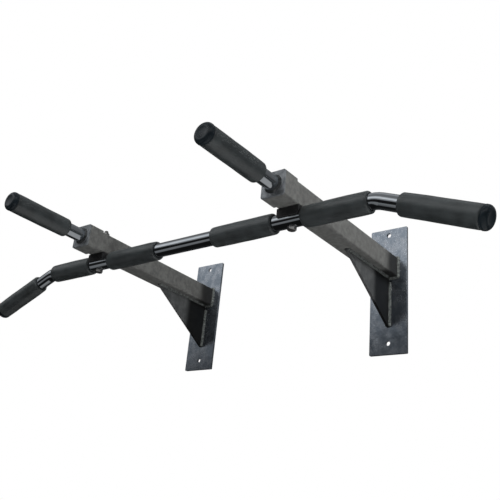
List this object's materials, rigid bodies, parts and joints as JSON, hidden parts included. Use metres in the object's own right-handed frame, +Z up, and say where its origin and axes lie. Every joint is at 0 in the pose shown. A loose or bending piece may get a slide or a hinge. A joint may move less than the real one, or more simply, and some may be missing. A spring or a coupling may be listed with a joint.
{
  "type": "pull up bar",
  "caption": "Wall-mounted pull-up bar: two welded steel brackets carry one bent chromed bar with foam grips and two forward handles.",
  "frame": {"origin": "centre of the four wall holes, on the wall plane at the back of the plates", "axes": "+X to the right along the bar, +Y into the wall, +Z up; the bar and handles stand out towards -Y"},
  "size_m": [1.0572, 0.5433, 0.243],
  "materials": {
    "bracket_paint": "blue-grey hammered stove paint, satin, slightly mottled",
    "arm_paint": "dark warm grey satin paint on square tube",
    "end_plate_paint": "lighter grey satin paint",
    "weld_paint": "painted weld bead, rippled",
    "chrome": "bright chrome plate",
    "grip_foam": "closed-cell black foam with a fine pitted skin",
    "cap_plastic": "glossy black moulded plastic",
    "saddle_rubber": "black moulded nylon, matt",
    "zinc_steel": "bright zinc plate",
    "nylon": "natural nylon"
  },
  "bodies": {
    "root": {"main_bar": "chrome", "wall_plate_left": "bracket_paint", "arm_tube_left": "arm_paint", "gusset_left": "bracket_paint", "arm_weld_left": "weld_paint", "gusset_wall_welds_left": "weld_paint", "gusset_arm_welds_left": "weld_paint", "front_sleeve_left": "arm_paint", "sleeve_end_plate_left": "end_plate_paint", "handle_tube_left": "chrome", "handle_weld_left": "weld_paint", "handle_grip_left": "grip_foam", "handle_cap_left": "cap_plastic", "bar_saddle_left": "saddle_rubber", "bar_inner_grip_left": "grip_foam", "bar_outer_grip_left": "grip_foam", "bar_end_grip_left": "grip_foam", "bar_end_cap_left": "cap_plastic", "wall_plate_right": "bracket_paint", "arm_tube_right": "arm_paint", "gusset_right": "bracket_paint", "arm_weld_right": "weld_paint", "gusset_wall_welds_right": "weld_paint", "gusset_arm_welds_right": "weld_paint", "front_sleeve_right": "arm_paint", "sleeve_end_plate_right": "end_plate_paint", "handle_tube_right": "chrome", "handle_weld_right": "weld_paint", "handle_grip_right": "grip_foam", "handle_cap_right": "cap_plastic", "bar_saddle_right": "saddle_rubber", "bar_inner_grip_right": "grip_foam", "bar_outer_grip_right": "grip_foam", "bar_end_grip_right": "grip_foam", "bar_end_cap_right": "cap_plastic", "clamp_bolts": "zinc_steel", "clamp_washers": "zinc_steel", "clamp_nuts": "zinc_steel", "nut_lock_rings": "nylon"}
  },
  "joints": []
}
